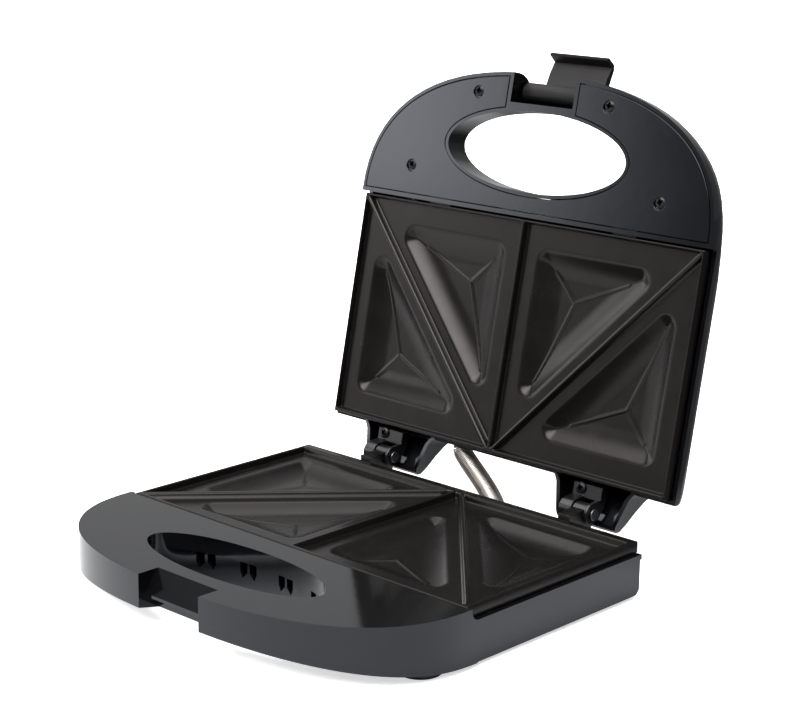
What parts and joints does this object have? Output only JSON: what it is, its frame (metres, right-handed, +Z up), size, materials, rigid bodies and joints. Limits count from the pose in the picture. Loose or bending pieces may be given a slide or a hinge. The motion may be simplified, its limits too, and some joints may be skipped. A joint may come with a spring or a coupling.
{
  "type": "sandwich toaster",
  "caption": "Countertop sandwich toaster standing open: hinged halves with triangular pocket plates, oval finger holes and a front latch.",
  "frame": {"origin": "on the surface that the feet stand on, under the middle of the bounding box, with the lid open", "axes": "+Y from the handle to the hinge, +Z up, +X to the right of someone who faces the handle"},
  "size_m": [0.226, 0.2798, 0.2375],
  "materials": {
    "housing_plastic": "polished moulded phenolic or ABS",
    "cover_plastic": "polished moulded plastic",
    "cooking_plate": "satin non-stick coating on die-cast aluminium",
    "heater_sheath": "oxidised steel tube",
    "reflector_sheet": "bright rolled sheet",
    "hinge_plastic": "moulded, lightly polished",
    "latch_plastic": "moulded",
    "steel_pin": "bright drawn steel",
    "black_screw": "black oxide",
    "zinc_screw": "zinc plated",
    "conduit_steel": "close-wound spring wire",
    "foot_rubber": "matt",
    "bush_rubber": "matt",
    "ceramic": "unglazed",
    "lead_sleeve": "varnished glass-fibre sleeve",
    "red_lens": "clear red moulding",
    "green_lens": "clear green moulding",
    "lamp_glass": "clear",
    "holder_plastic": "natural moulding"
  },
  "bodies": {
    "base": {"base_housing": "housing_plastic", "base_bottom_cover": "cover_plastic", "rubber_feet": "foot_rubber", "base_screws": "zinc_screw", "lower_plate": "cooking_plate", "lower_heater": "heater_sheath", "lower_reflector": "reflector_sheet", "thermostat": "ceramic", "thermal_fuse": "ceramic", "terminal_block": "ceramic", "cord_inlet_bush": "bush_rubber", "base_leads": "lead_sleeve", "base_hinge_bracket_left": "hinge_plastic", "base_hinge_bracket_right": "hinge_plastic", "base_hinge_screws": "zinc_screw", "hinge_pins": "steel_pin", "spring_conduit": "conduit_steel"},
    "lid": {"lid_shell": "housing_plastic", "lid_inner_cover": "cover_plastic", "lid_cover_screws": "black_screw", "upper_plate": "cooking_plate", "upper_plate_screws": "zinc_screw", "upper_heater": "heater_sheath", "upper_reflector": "reflector_sheet", "upper_reflector_screws": "zinc_screw", "lid_hinge_bracket_left": "hinge_plastic", "lid_hinge_bracket_right": "hinge_plastic", "lid_hinge_screws": "black_screw", "latch_pin": "steel_pin", "power_lamp_lens": "red_lens", "ready_lamp_lens": "green_lens", "neon_lamps": "lamp_glass", "lamp_holder": "holder_plastic", "lid_leads": "lead_sleeve"},
    "latch": {"latch": "latch_plastic"}
  },
  "joints": [
    {"name": "lid_hinge", "type": "hinge", "parent": "base", "child": "lid", "pos_m": [0, 0.06672, 0.0275], "axis": [1, 0, 0], "range_deg": [0, 101.6], "deforming": ["spring_conduit"]},
    {"name": "latch_hinge", "type": "hinge", "parent": "lid", "child": "latch", "pos_m": [0, 0.11818, 0.21855], "axis": [1, 0, 0], "range_deg": [0, 120]}
  ]
}
